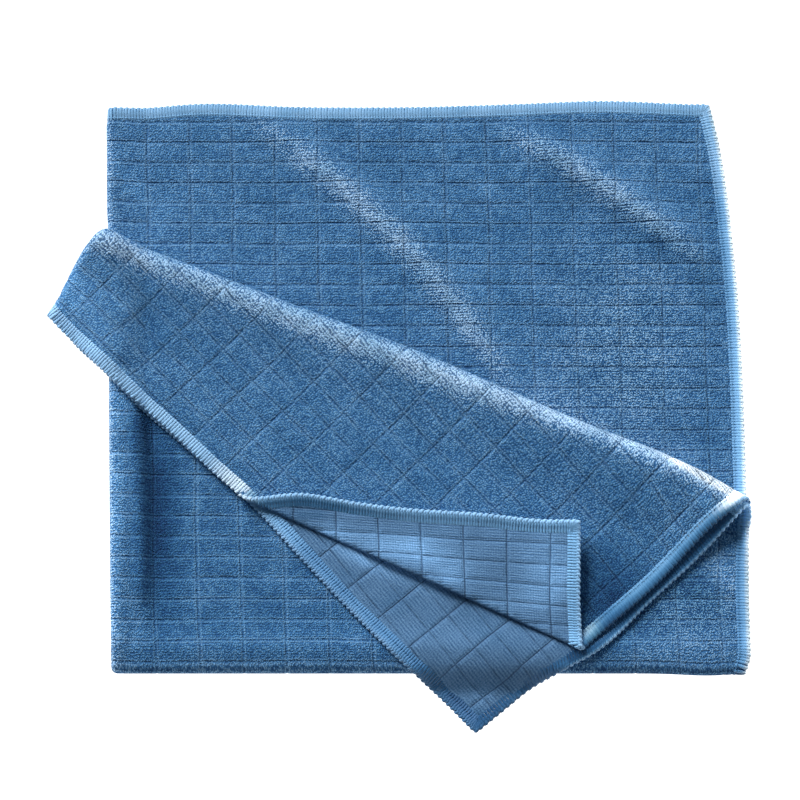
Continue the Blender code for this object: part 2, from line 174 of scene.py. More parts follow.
def turn_over(s, radius, slope, rise, settle):
    """A strip that lies flat up to s = 0, bends up and back over, and comes down at a slope to lie flat again,
    rise above where it was. Gives its place forwards and up, and the angle that it has turned through."""
    sine, cosine = math.sin(slope), math.cos(slope)
    bend = (math.pi + slope) * radius
    fall = np.maximum((radius * (1 + cosine) - rise - settle * (1 - cosine)) / sine, 0.0)
    turned = np.clip(s / radius, 0.0, math.pi + slope)
    down = np.clip(s - bend, 0.0, fall)
    settled = np.clip(s - bend - fall, 0.0, slope * settle) / settle
    forwards = (
        np.minimum(s, 0.0)
        + radius * np.sin(turned)
        - cosine * down
        - settle * (sine - np.sin(slope - settled))
        - np.maximum(s - bend - fall - slope * settle, 0.0)
    )
    up = radius * (1 - np.cos(turned)) - sine * down - settle * (np.cos(slope - settled) - cosine)
    return forwards, up, turned - settled


def left_fold_radius(y):
    """The left fold is pressed tighter where the near fold crosses it."""
    return LEFT_RADIUS * between(LEFT_PRESSED, 1, rises(np.abs(y), *LEFT_PRESSED_RUN))


def pair_gap(x, y):
    """How far apart the two layers of a folded pair are, at a distance x from the fold's outer edge."""
    radius = left_fold_radius(y)
    sine, cosine = math.sin(LEFT_SLOPE), math.cos(LEFT_SLOPE)
    top = radius * (1 + cosine)
    fall = np.maximum((top - LAYER_PITCH - LEFT_SETTLE * (1 - cosine)) / sine, 0.0)
    inwards = np.maximum(x - radius, 0.0)
    round_top = radius + np.sqrt(np.maximum(radius**2 - inwards**2, 0.0))
    slope_x = radius * sine
    slope_end = slope_x + fall * cosine
    on_slope = top - math.tan(LEFT_SLOPE) * (inwards - slope_x)
    steepness = np.clip(sine - (inwards - slope_end) / LEFT_SETTLE, 0.0, sine)
    on_curve = top - sine * fall - LEFT_SETTLE * (np.sqrt(1 - steepness**2) - cosine)
    return np.where(inwards < slope_x, round_top, np.where(inwards < slope_end, on_slope, on_curve))


def along_ridge(x, y, x0, y0, x1, y1, bow):
    """How far along a ridge a place is, from 0 to 1, and how far sideways from the ridge's bowed line."""
    length = math.hypot(x1 - x0, y1 - y0)
    along = ((x - x0) * (x1 - x0) + (y - y0) * (y1 - y0)) / length**2
    across = ((y - y0) * (x1 - x0) - (x - x0) * (y1 - y0)) / length
    return along, across - 4 * bow * along * (1 - along)


def ridge_fade(along):
    """1 on a ridge, running out to 0 at its two ends."""
    return ease((along + RIDGE_RUN_OUT) / RIDGE_FADE) * ease((1 + RIDGE_RUN_OUT - along) / RIDGE_FADE)


def ridges(x, y, table):
    """The sum of the table's ridges and troughs at a place in the pile."""
    total = np.zeros_like(x)
    for *line, half_width, height in np.array(table) * MM:
        along, across = along_ridge(x, y, *line)
        total = total + height * ridge_fade(along) * bell(across, 0.0, half_width)
    return total


def droop(x, y):
    """How far a flap that goes past the pile's left and near edges hangs down."""
    return LEFT_DROOP * rises(-x, *LEFT_DROOP_RUN) + NEAR_DROOP * rises(-y, *NEAR_DROOP_RUN)


def pair_height(x, y, flap):
    """The middle of layers 1 and 2 in the pile, carried on over the edge as far as a flap on it droops."""
    base = THICKNESS / 2 + LAYER_PITCH + 1.5 * pair_gap(np.maximum(x, 0.0), y)
    return base + ridges(x, y, PILE_RIDGES) + flap * (ridges(x, y, FLAP_RIDGES) - droop(x, y))


def line_axes(start, end):
    along = (end - start).normalized()
    return along, Vector((-along.y, along.x))


def across_line(x, y, start, end):
    """Distances of a place from a line through start, to its far side, and along it."""
    along, out = line_axes(start, end)
    x, y = x - start.x, y - start.y
    return x * out.x + y * out.y, x * along.x + y * along.y


def from_line(out_by, along_by, start, end):
    """The place with those distances from the line and along it."""
    along, out = line_axes(start, end)
    return [start[i] + out_by * out[i] + along_by * along[i] for i in (0, 1)]


def share_along(t, start, end):
    return np.clip(t / (end - start).length, 0.0, 1.0)


def quarter(u, v):
    """The sheet folded twice: plan x and y, height, the offset from the middle of its pair, and the gap."""
    crease = SKEW_OUT * rises(v, *SKEW_OUT_RUN) + SKEW_IN * rises(v, *SKEW_IN_RUN)
    crease = crease + LEFT_BOW * (rises(-v, *LEFT_BOW_RUN) * (1 - rises(-v, *LEFT_BOW_BACK)))
    radius = left_fold_radius(v)
    s = math.pi / 2 * radius - (u - crease)
    forwards, over, _ = turn_over(s, radius, LEFT_SLOPE, LAYER_PITCH, LEFT_SETTLE)
    from_fold = radius - forwards
    x = from_fold + crease * (1 - 2 * np.clip(-u / SKEW_GONE, 0.0, 1.0))
    gap = pair_gap(from_fold, v)
    turned = np.clip(v / LAYER_PITCH, -math.pi / 2, math.pi / 2)
    out = HALF_PITCH + LAYER_PITCH * over / gap
    y = 1.5 * LAYER_PITCH - out * np.cos(turned) + np.maximum(np.abs(v) - math.pi / 2 * LAYER_PITCH, 0.0)
    z = THICKNESS / 2 + HALF_PITCH + gap + (HALF_PITCH + over) * np.sin(turned)
    z = z + ridges(x, y, PILE_RIDGES) * np.clip((z - THICKNESS / 2) / LAYER_PITCH, 0.0, 1.0)
    bulge = bell(x, NEAR_BULGE_X, NEAR_BULGE_HALF) * bell(v, 0.0, NEAR_BULGE_REACH)
    y = y - NEAR_BULGE * bulge
    return x, y, z, over - gap / 2, gap


def roll_radius(t):
    radius = between(ROLL_RADIUS_START, ROLL_RADIUS_END, share_along(t, *ROLL))
    return radius - END_TIGHTER * ease((t - END_FROM) / END_OVER)


def crease_radius(t):
    return between(CREASE_RADIUS_START, CREASE_RADIUS_END, share_along(t, *CREASE))


def turned_down(x, y, z, offset, gap):
    """Layers 1 and 2 taken over the diagonal roll. Gives plan x and y, height, and the angle turned."""
    s, t = across_line(x, y, *ROLL)
    radius = roll_radius(t)
    bow = read(ROLL_BOW, t) * (1 - ease(np.abs(s - math.pi / 2 * radius) / ROLL_BOW_REACH))
    forwards, up, angle = turn_over(s, radius, ROLL_SLOPE, 2 * LAYER_PITCH, ROLL_SETTLE)
    new_x, new_y = from_line(forwards - offset * np.sin(angle) + bow, t, *ROLL)
    flap = (1 - np.cos(angle)) / 2
    spare = (pair_gap(np.maximum(new_x, 0.0), new_y) + gap) / 2 - LAYER_PITCH
    height = pair_height(new_x, new_y, flap) + up + offset * np.cos(angle) + spare * flap
    # The roll's open end stands up off the layers below.
    lift = END_LIFT * ease((t - END_FROM) / END_OVER) * ease((s + END_RAMP) / END_RAMP)
    height = height + lift * (1 - ease((-forwards - END_FLAT) / END_DECAY))
    return new_x, new_y, np.where(s > 0, height, z + lift), angle


def lay(u, v):
    """Where each point (u, v) of the flat sheet comes to lie."""
    x, y, z, offset, gap = quarter(u, v)
    upper = v > 2 * LAYER_PITCH
    down_x, down_y, down_z, angle = turned_down(x, y, z, offset, gap)
    x, y, z = (np.where(upper, new, old) for new, old in ((down_x, x), (down_y, y), (down_z, z)))
    flap = upper & (angle > TURNED_DOWN)
    s, t = across_line(x, y, *CREASE)
    past = np.maximum(-s, 0.0)
    # Layer 1 under the crease slides out.
    low = flap & (offset > 0) & (past > 0)
    slid_x = x + past / TIP_DISTANCE * TIP_SLID.x
    slid_y = y + past / TIP_DISTANCE * TIP_SLID.y
    slid_z = pair_height(slid_x, slid_y, 1.0) + 2 * LAYER_PITCH - offset
    # Layer 2 turns back up.
    second = flap & (offset <= 0)
    z = z - np.where(second, CREASE_SINK * bell(s, 0.0, CREASE_SINK_HALF), 0.0)
    high = second & (past > 0)
    forwards, up, _ = turn_over(past, crease_radius(t), CREASE_SLOPE, LAPEL_RISE, CREASE_SETTLE)
    shorter = between(LAPEL_SHORTER_START, LAPEL_SHORTER_END, share_along(t, *CREASE))
    forwards = forwards + shorter * ease(past / LAPEL_SHORTER_OVER)
    back_x, back_y = from_line(-forwards, t, *CREASE)
    back_z = pair_height(back_x, back_y, 1.0) + 2 * LAYER_PITCH - offset + up
    from_hem = read(UPPER_HEM_RIGHT, np.maximum(u, 0.0)) - v
    back_z = back_z + LAPEL_CURL * bell(from_hem, LAPEL_CURL_CREST, LAPEL_CURL_HALF)
    back_z = back_z + ridges(back_x, back_y, LAPEL_RIDGES) - CREASE_SINK * bell(past, 0.0, CREASE_SINK_HALF)
    back_z = back_z + (LAPEL_RISE - LAPEL_LEAST_RISE) * ease(past / LAPEL_RISES_OVER)
    back_z = back_z + LAPEL_LIFT * rises(back_x, *LAPEL_LIFT_RUN) * rises(past, *LAPEL_LIFT_PAST)
    x = np.where(low, slid_x, np.where(high, back_x, x))
    y = np.where(low, slid_y, np.where(high, back_y, y))
    z = np.where(low, slid_z, np.where(high, back_z, z))
    return np.stack([LEFT_X + x - LEFT_LEAN * y, NEAR_Y + y, z], -1)


def reaches(u, v):
    """How far the hems lie from the folds, sideways and away, on the layer that a place is on."""
    upper = np.where(u > 0, read(RIGHT_HEM_2, v), read(RIGHT_HEM_1, v))
    right = np.where(v < 0, read(RIGHT_HEM_3, -v), upper)
    far = np.where(u > 0, read(UPPER_HEM_RIGHT, u), read(UPPER_HEM_LEFT, -u))
    return right, np.where(v < 0, read(LOWER_HEM, np.abs(u)), far)


def as_cut(across, up):
    """Where a place in a square, each of whose coordinates runs from -1 to 1, comes in the sheet as cut."""
    right, far = reaches(across * HALF_WIDTH, up * np.where(up < 0, LOWER_REACH, UPPER_REACH))
    return across * right, up * far


STEP = 0.25 * MM  # for slopes of the laid sheet


def surface(u, v, height):
    """Points at a height above the middle of the laid sheet, towards its pile face."""
    along_u = lay(u + STEP, v) - lay(u - STEP, v)
    along_v = lay(u, v + STEP) - lay(u, v - STEP)
    normal = -np.cross(along_u, along_v)
    normal /= np.maximum(np.linalg.norm(normal, axis=-1, keepdims=True), 1e-12)
    return lay(u, v) + normal * np.asarray(height)[..., None]


# ---- The knitted blocks: grooves across the pile every 20 mm along u and every 9.7 mm along v ----
BLOCK_U, BLOCK_V = 20 * MM, 9.73 * MM
BLOCK_U0, BLOCK_V0 = -0.9 * MM, 4.6 * MM
STRETCH_UPPER, STRETCH_LOWER = 1.014, 0.9915
WOBBLE, WOBBLE_SHARE = 0.35 * MM, 0.6


def wobble(a, b):
    """How far the blocks stray from a straight grid, in a quick wave on a slow one."""
    quick_u = np.sin(b / (7.1 * MM) + 2.0 * np.sin(a / (31 * MM)))
    slow_u = np.sin(b / (17.3 * MM) + a / (23 * MM))
    quick_v = np.sin(a / (8.3 * MM) + 1.5 * np.sin(b / (27 * MM)))
    slow_v = np.sin(a / (19.1 * MM) - b / (21 * MM))
    waves = ((quick_u, slow_u), (quick_v, slow_v))
    return [WOBBLE * (quick * WOBBLE_SHARE + slow) * WOBBLE_SHARE for quick, slow in waves]


def to_sheet(a, b):
    """From places in the knitted pattern to the flat sheet."""
    shift_u, shift_v = wobble(a, b)
    v = b + BLOCK_V0 + shift_v
    return a + BLOCK_U0 + shift_u, v / np.where(v > 0, STRETCH_UPPER, STRETCH_LOWER)


def to_pattern(u, v):
    """From places in the flat sheet to the knitted pattern."""
    a0, b0 = u - BLOCK_U0, v * np.where(v > 0, STRETCH_UPPER, STRETCH_LOWER) - BLOCK_V0
    a, b = a0, b0
    for _ in range(3):
        shift_u, shift_v = wobble(a, b)
        a, b = a0 - shift_u, b0 - shift_v
    return a, b


# ---- The outline ----
OUTLINE_STEP = 0.5 * MM
CORNER_SOFT = 3 * MM
SIDE_POINTS = 1400


def outline():
    """The sheet's outline as a closed run of points, evenly spaced, with rounded corners."""
    side = np.linspace(-1, 1, SIDE_POINTS)
    ones = np.ones_like(side)
    runs = [(side, -ones), (ones, side), (-side, ones), (-ones, -side)]
    loop = np.concatenate([np.stack(as_cut(a, b), -1)[:-1] for a, b in runs])
    loop = evenly(loop, OUTLINE_STEP)
    reach = int(CORNER_SOFT / OUTLINE_STEP)
    window = np.hanning(2 * reach + 3)[1:-1]
    window /= window.sum()
    wrapped = np.concatenate([loop[-reach:], loop, loop[:reach]])
    loop = np.stack([np.convolve(wrapped[:, i], window, "valid") for i in (0, 1)], -1)
    return evenly(loop, OUTLINE_STEP)


def evenly(loop, step):
    """The closed run with its points a step apart."""
    closed = np.concatenate([loop, loop[:1]])
    length = np.concatenate([[0.0], np.cumsum(np.linalg.norm(np.diff(closed, axis=0), axis=1))])
    count = int(round(length[-1] / step))
    at = np.arange(count) * length[-1] / count
    return np.stack([np.interp(at, length, closed[:, i]) for i in (0, 1)], -1)


EDGE = outline()
EDGE_LENGTH = len(EDGE) * OUTLINE_STEP


def spaced(step):
    """Distances along the outline that are about a step apart."""
    count = int(round(EDGE_LENGTH / step))
    return np.arange(count) * EDGE_LENGTH / count


NORMAL_SOFT = 5 * MM


def inward_normals():
    """The direction straight in from each point of the outline."""
    reach = int(NORMAL_SOFT / OUTLINE_STEP)
    tangent = np.roll(EDGE, -reach, 0) - np.roll(EDGE, reach, 0)
    tangent /= np.linalg.norm(tangent, axis=1, keepdims=True)
    return np.stack([-tangent[:, 1], tangent[:, 0]], -1)


EDGE_INWARD = inward_normals()


def beside_edge(along, inside):
    """Flat places a distance along the outline and a distance inside it."""
    at = (along / EDGE_LENGTH * len(EDGE)) % len(EDGE)
    low = np.floor(at).astype(int) % len(EDGE)
    high = (low + 1) % len(EDGE)
    share = (at - np.floor(at))[..., None]
    point = EDGE[low] * (1 - share) + EDGE[high] * share
    normal = EDGE_INWARD[low] * (1 - share) + EDGE_INWARD[high] * share
    place = point + normal * np.asarray(inside)[..., None]
    return place[..., 0], place[..., 1]


def edge_distance(u, v):
    """About how far inside the outline a place is."""
    right, far = reaches(u, v)
    return np.minimum(right - np.abs(u), far - np.abs(v))


# ---- The sheet's mesh ----
HEM_WIDTH = 6 * MM
HEM_PRESSED, PRESSED_EDGE = 0.3 * MM, 1 * MM  # by which the stitches press each face in
PAST_ROLL = 20 * MM  # clear of the roll, on the flap
GROOVE_DEPTH = 0.2 * MM
GROOVE_HALF = 0.6 * MM
FINE_U, FINE_V = 6, 2  # lines between the grooves
COARSE, COARSE_GAP = 5.0, 2.5 * MM  # mm between the points where a face is hidden, and their distance inside
BACK_U, BACK_V = 3.7, 3.6  # mm between the points of the smooth back
WIDEST, NEAREST, FARTHEST = 297, -272, 262  # mm, past the outline
RIM_GAP = 1.7 * MM
SHEET_INSET = 0.6 * MM  # inside the hem's outermost loops


def groove(a, b):
    """How far a groove sinks at a place in the pattern."""
    to_u = np.abs(a - np.round(a / BLOCK_U) * BLOCK_U)
    to_v = np.abs(b - np.round(b / BLOCK_V) * BLOCK_V)
    deep = np.maximum(1 - to_u / GROOVE_HALF, 1 - to_v / GROOVE_HALF)
    return GROOVE_DEPTH * np.clip(deep, 0.0, 1.0)


def half_thickness(u, v):
    hem = ease((HEM_WIDTH + PRESSED_EDGE - edge_distance(u, v)) / (2 * PRESSED_EDGE))
    s, _, past, _, _, _ = places(u, v)
    creased = bell(past, 0.0, CREASE_SINK_HALF) * ((u > 0) & (v > 0) & (s > PAST_ROLL))
    return THICKNESS / 2 - np.maximum(HEM_PRESSED * hem, CREASE_PRESSED * creased)


def grid_lines(block, between, least, most):
    """Groove middles and shoulders, and evenly spaced lines between them."""
    least, most = least * MM, most * MM
    low, high = math.floor(least / block), math.ceil(most / block)
    gap = np.linspace(GROOVE_HALF, block - GROOVE_HALF, between + 2)
    lines = np.concatenate([[k * block, *(k * block + gap)] for k in range(low, high)])
    return lines[within(lines, least, most)]


def places(u, v):
    """Distances past the roll and along it, past the lapel's crease and along it, and plan x and y as folded
    twice."""
    x, y, z, offset, gap = quarter(u, v)
    s, t = across_line(x, y, *ROLL)
    new_x, new_y, _, angle = turned_down(x, y, z, offset, gap)
    past, crease_t = across_line(new_x, new_y, *CREASE)
    return s, t, -past, crease_t, x, y


MARGIN, BEFORE_CREASE = 9 * MM, 4 * MM
# Painted highlight: beside the ridge crests, along the roll's crest (in radii round it, whiter at its end),
# and on the fold edges.
HIGHLIGHT_SIDE, HIGHLIGHT_SHARE = 1.5 * MM, 0.75
ROLL_CREST, ROLL_CREST_SHIFT, ROLL_CREST_WIDE, ROLL_CREST_NARROWS = 3.2, -1.05, 0.95, -0.15
ROLL_CREST_LEFT, ROLL_CREST_RIGHT = 1.35, 1.6
ROLL_LEFT_RUN, ROLL_RIGHT_RUN = (60, 60), (150, 110)
ROLL_END_HIGHLIGHT, ROLL_END_RUN = 2.2, (270, 40)
FOLD_EDGE_HALF, FOLD_EDGE_SHARE, NEAR_EDGE_SHARE = 2.6 * MM, 0.8, 0.3


def face_shown(u, v):
    """Where the pile face can be seen from above or from the side."""
    s, _, past, _, _, _ = places(u, v)
    near_edge = edge_distance(u, v) < MARGIN
    near_fold = (np.abs(u) < MARGIN) | (np.abs(v) < MARGIN)
    lower = (v < 0) & ((u < 0) | (s > -MARGIN))
    second = (v > 0) & (u > 0) & (s > -MARGIN) & (past < MARGIN)
    first = (v > 0) & (u < 0) & (s < -MARGIN)
    return near_edge | near_fold | lower | second | first


def back_shown(u, v):
    """Where the smooth back can be seen: on the lapel and the corner below it."""
    s, _, past, _, _, _ = places(u, v)
    return (v > 0) & (s > 0) & (past > -BEFORE_CREASE) | (edge_distance(u, v) < MARGIN / 2)


BEND_STEP = 1.15  # mm
BEND_FROM, ROLL_BEND, CREASE_BEND = -1.5 * MM, 3.6, 3.5  # starts before each bend, and its length in radii
ABOVE_NEAR, NEAR_BEND, LEFT_BEND = 3 * MM, 4.6 * MM, (-11 * MM, 6 * MM)
TROUGH_X, TROUGH_Y = (4 * MM, 22 * MM), 145 * MM
CURL_INSIDE = 10 * MM


def within(x, low, high):
    return (x > low) & (x < high)


def bend_points():
    """Places on the sheet's bends, close enough to round them: rows of u, v and that grooves apply."""
    steps = (np.arange(low, high, BEND_STEP) * MM for low, high in ((-WIDEST, WIDEST), (NEAREST, FARTHEST)))
    u, v = (x.ravel() for x in np.meshgrid(*steps))
    s, t, past, crease_t, x, y = places(u, v)
    inside = edge_distance(u, v)
    upper = v > ABOVE_NEAR
    on_roll = upper & within(s, BEND_FROM, ROLL_BEND * roll_radius(t))
    on_crease = within(past, BEND_FROM, CREASE_BEND * crease_radius(crease_t))
    on_crease = upper & on_crease & (s > PAST_ROLL) & (u > 0)
    on_left = within(u, *LEFT_BEND)
    on_near = np.abs(v) < NEAR_BEND
    on_trough = (v > 0) & (u < 0) & within(x, *TROUGH_X) & (y < TROUGH_Y) & (s < 0)
    on_ramp = upper & within(s, -END_RAMP, 0) & (t > END_FROM)
    on_curl = upper & (u > 0) & (past > 0) & (inside < CURL_INSIDE)
    keep = on_roll | on_crease | on_left | on_near | on_trough | on_ramp | on_curl
    return np.stack([u, v, np.ones_like(u)])[:, keep & (inside > RIM_GAP)]


def flat_points(shown, fine):
    """Flat places for one face, fine where it shows and coarse elsewhere: rows of u, v and whether grooves
    apply."""
    u, v = to_sheet(*(x.ravel() for x in np.meshgrid(*fine)))
    keep = (edge_distance(u, v) > RIM_GAP) & shown(u, v)
    near = np.stack([u, v, np.ones_like(u)])[:, keep]
    coarse = np.meshgrid(np.arange(-295, 296, COARSE) * MM, np.arange(-268, 256, COARSE) * MM)
    u, v = (x.ravel() for x in coarse)
    keep = (edge_distance(u, v) > COARSE_GAP) & ~shown(u, v)
    return np.hstack([near, np.stack([u, v, np.zeros_like(u)])[:, keep]])


EDGE_SPACING = 2.25 * MM
THIN_CELL = 0.9 * MM
CELL_ROWS = 100003  # more than there are cells in a row
ONLY_INSIDE, SAME_PLACE = 1, 1e-7


def face_mesh(shown, fine):
    """One face, laid flat: its points, triangles, whether grooves apply at each point, and how many points are
    on its edge, which come first."""
    starts = spaced(EDGE_SPACING)
    count = len(starts)
    edge = np.stack([*beside_edge(starts, np.full(count, SHEET_INSET)), np.zeros(count)])
    points = np.hstack([flat_points(shown, fine), bend_points()])
    # Of the places that share a small cell, the first stays.
    across, up = np.round(points[:2] / THIN_CELL).astype(np.int64)
    _, first = np.unique(across * CELL_ROWS + up, return_index=True)
    points = np.hstack([edge, points[:, np.sort(first)]]).T.tolist()
    ring = [(i, (i + 1) % count) for i in range(count)]
    corners = [Vector(p[:2]) for p in points]
    made, _, faces, origins, _, _ = delaunay_2d_cdt(corners, ring, [], ONLY_INSIDE, SAME_PLACE)
    weight = np.array([points[o[0]][2] if o else 0.0 for o in origins])
    return np.array([[p.x, p.y] for p in made]), np.array(faces), weight, count


def build_sheet():
    """Both faces and the rim between them. Gives flat and laid places, faces, the material of each, and how
    many places are on the pile face."""
    lines_u, lines_v = grid_lines(BLOCK_U, FINE_U, -300, 300), grid_lines(BLOCK_V, FINE_V, -280, FARTHEST)
    back_u, back_v = np.arange(-299, 299, BACK_U) * MM, np.arange(-275, FARTHEST, BACK_V) * MM
    top, top_faces, weight, count = face_mesh(face_shown, (lines_u, lines_v))
    back, back_faces, _, _ = face_mesh(back_shown, (back_u, back_v))
    u, v = top.T
    sunk = groove(*to_pattern(u, v)) * weight * (edge_distance(u, v) > HEM_WIDTH)
    top_place = surface(u, v, half_thickness(u, v) - sunk)
    back_place = surface(*back.T, -half_thickness(*back.T))
    ring = np.arange(count)
    after, shift = (ring + 1) % count, len(top)
    rim = (ring, after, after + shift), (ring, after + shift, ring + shift)
    rim = np.concatenate([np.stack(corners, -1) for corners in rim])
    # The face's normal is against the flat sheet's own, so its faces turn the other way round.
    faces = np.concatenate([top_faces[:, ::-1], back_faces + shift, rim])
    kind = np.repeat([0, 1, 0], [len(top_faces), len(back_faces), len(rim)]).astype(np.int32)
    return np.concatenate([top, back]), np.concatenate([top_place, back_place]), faces, kind, shift


def new_mesh(name, place, faces):
    """A smooth mesh object, whose faces all have the same number of corners."""
    mesh = bpy.data.meshes.new(name)
    mesh.vertices.add(len(place))
    mesh.vertices.foreach_set("co", place.astype(np.float32).ravel())
    corners = faces.shape[1]
    mesh.loops.add(faces.size)
    mesh.loops.foreach_set("vertex_index", faces.astype(np.int32).ravel())
    mesh.polygons.add(len(faces))
    mesh.polygons.foreach_set("loop_start", np.arange(len(faces), dtype=np.int32) * corners)
    mesh.update(calc_edges=True)
    mesh.validate()
    mesh.polygons.foreach_set("use_smooth", np.ones(len(mesh.polygons), bool))
    thing = bpy.data.objects.new(name, mesh)
    scene.collection.objects.link(thing)
    return thing


def set_attribute(thing, name, values):
    """A number at each point, for the material to read."""
    attribute = thing.data.attributes.new(name, "FLOAT", "POINT")
    attribute.data.foreach_set("value", values.astype(np.float32))


def set_uv(thing, flat):
    """The knitted pattern's places as the mesh's UV map, in blocks."""
    mesh = thing.data
    a, b = to_pattern(*flat.T)
    corner = np.zeros(len(mesh.loops), np.int32)
    mesh.loops.foreach_get("vertex_index", corner)
    layer = mesh.uv_layers.new(name="pattern")
    uv = np.stack([a / BLOCK_U, b / BLOCK_V], -1)[corner]
    layer.data.foreach_set("uv", uv.astype(np.float32).ravel())


# Painted sparkle, where lit loop tops stand out: plan x and y in mm, half sizes, and how much.
SPARKLE_PATCHES = ((240, 150, 32, 52, 0.46), (212, 118, 42, 16, 0.42), (262, 32, 34, 19, 0.46))


def patch(x, y, centre_x, centre_y, half_x, half_y):
    """1 in the middle of a soft oval patch, falling to 0 around it."""
    return np.exp(-(((x - centre_x) / half_x) ** 2) - ((y - centre_y) / half_y) ** 2)


def painted_highlight_amount(u, v):
    """Painted highlight: along the crests of the ridges, where it also stands for pile opened on the crest,
    along the roll's crest, on the fold edges, and as painted sparkle on loop tops. It is more than 1 where the
    painted highlight at the roll's end is nearly white."""
    s, t, _, _, x, y = places(u, v)
    crest = np.zeros_like(u)
    for *line, half_width, _ in np.array(PILE_RIDGES[:2]) * MM:
        along, across = along_ridge(x, y, *line)
        crest = np.maximum(crest, ridge_fade(along) * bell(across, -HIGHLIGHT_SIDE, HIGHLIGHT_SHARE * half_width))
    crest = crest * (v < 0) * (u > 0)
    right = rises(t, *ROLL_RIGHT_RUN)
    crest_width = ROLL_CREST_WIDE + ROLL_CREST_NARROWS * right
    roll = bell(s / roll_radius(t) - ROLL_CREST, ROLL_CREST_SHIFT * right, crest_width) * (v > 0) * (u > 0)
    roll = roll * between(ROLL_CREST_LEFT, ROLL_CREST_RIGHT, rises(t, *ROLL_LEFT_RUN))
    roll = roll * (1 + ROLL_END_HIGHLIGHT * rises(t, *ROLL_END_RUN))
    edges = np.maximum(
        FOLD_EDGE_SHARE * bell(u, 0.0, FOLD_EDGE_HALF), NEAR_EDGE_SHARE * bell(v, 0.0, FOLD_EDGE_HALF),
    )
    painted_sparkle = np.zeros_like(u)
    for *oval, share in SPARKLE_PATCHES:
        painted_sparkle = np.maximum(painted_sparkle, share * patch(x / MM, y / MM, *oval))
    return np.maximum.reduce([crest, roll, edges, painted_sparkle * ((v < 0) | (s < 0))])


# Patches of painted light and shade: plan x and y in mm, half sizes, and the change in lightness.
PAINTED_LIGHT_PATCHES = (
    (17.5, 78, 7, 60, -0.6), (26, 72, 6, 46, -0.34), (1.8, 85, 3.8, 75, 0.7), (10, 27, 11, 10, 0.28),
    (11.5, 112, 6, 18, -0.3), (240, -2, 75, 3.5, -0.4), (225, 7.5, 60, 4.5, 0.28), (4.5, 22, 6, 12, 0.2),
    (45, 40, 60, 45, -0.17), (90, 22, 60, 10, -0.06), (150, 15, 90, 14, -0.06), (5, 225, 8, 30, 0.15),
    (4, 150, 4.5, 18, 0.25), (15, 162, 7, 18, -0.2), (16, 137, 10, 9, 0.32), (6, 113, 6, 9, -0.2),
    (271, 80, 8, 6, 0.35), (-20, 180, 6, 12, 0.2), (225, 212, 55, 24, -0.1), (240, 222, 18, 9, 0.16),
    (275, 150, 6, 90, -0.14), (120, 235, 50, 16, -0.06), (110, 175, 40, 26, -0.05), (130, 95, 90, 30, -0.06),
    (228, 34, 15, 27, -0.6), (236, 150, 36, 52, -0.18), (262, 33, 30, 16, -0.14), (190, 124, 14, 6, 0.2),
    (215, 114, 14, 6, 0.25), (238, 103, 14, 6, 0.25), (258, 95, 12, 6, 0.2), (204, 246, 12, 6, -0.15),
    (128, 194, 8, 6, -0.15), (15, 215, 25, 30, 0.07), (250, 20, 40, 16, -0.08), (267, 40, 10, 10, -0.38),
    (-6, 183, 14, 11, 0.3), (-24, 166, 8, 8, 0.35), (262, 66, 16, 9, 0.22), (22, 124, 9, 8, 0.2),
    (67, 83, 10, 6, 0.2), (253, 200, 16, 6, -0.18), (230, 208, 20, 6, -0.1), (265, 30, 22, 14, -0.08),
    (281, 46, 9, 8, 0.45),
)
# The same on the lapel and on the corner below it, where the smooth back shows.
LAPEL_PAINTED_LIGHT = (
    (150, 50, 80, 26, 0.14), (134, 57.5, 15, 4.2, 1.15), (146, 52, 14, 4, 0.8), (158, 43.5, 10, 5, 0.6),
    (190, 31, 16, 5, 0.35), (206, 42, 8, 12, 0.25), (184, 50, 18, 8, -0.14), (94, 62.5, 22, 4.5, 0.85),
    (200, 42, 14, 15, 0.5), (84, 71, 18, 4, -0.25),
)
CORNER_PAINTED_LIGHT = (
    (161, -9.5, 25, 6, 0.4), (145, -1, 14, 9, 0.22), (164, -21.5, 14, 6.5, -0.4), (130, 30, 18, 12, -0.04),
)
# Painted light along the lapel's crease on the corner below it: how much, where across the crease and how
# wide, and the runs along it where it rises and fades.
CREASE_GLOW, CREASE_GLOW_AT, CREASE_GLOW_HALF = 1.5, 2 * MM, 3.4 * MM
GLOW_RUN, GLOW_FADES = (30, 25), (78, 30)


def painted_light(u, v, patches):
    """Painted light and shade: how light the patches make the sheet look."""
    x, y, _ = (lay(u, v) / MM).T
    x, y = x - LEFT_X / MM, y - NEAR_Y / MM
    total = np.ones_like(x)
    for *oval, change in patches:
        total = total + change * patch(x, y, *oval)
    return total


def back_painted_light(u, v):
    """The same for the smooth back, with painted light along the lapel's crease on the corner below it."""
    _, _, past, along, _, _ = places(u, v)
    glow = CREASE_GLOW * bell(past, CREASE_GLOW_AT, CREASE_GLOW_HALF) * (v > 0)
    glow = glow * rises(along, *GLOW_RUN) * (1 - rises(along, *GLOW_FADES))
    return np.where(u > 0, painted_light(u, v, LAPEL_PAINTED_LIGHT), painted_light(u, v, CORNER_PAINTED_LIGHT) + glow)


# ---- The hem's stitches ----
STITCH = 2.7 * MM
HALF_STITCH = 1.35  # mm
ACROSS_STEP = 0.2 * MM  # for the direction across a thread


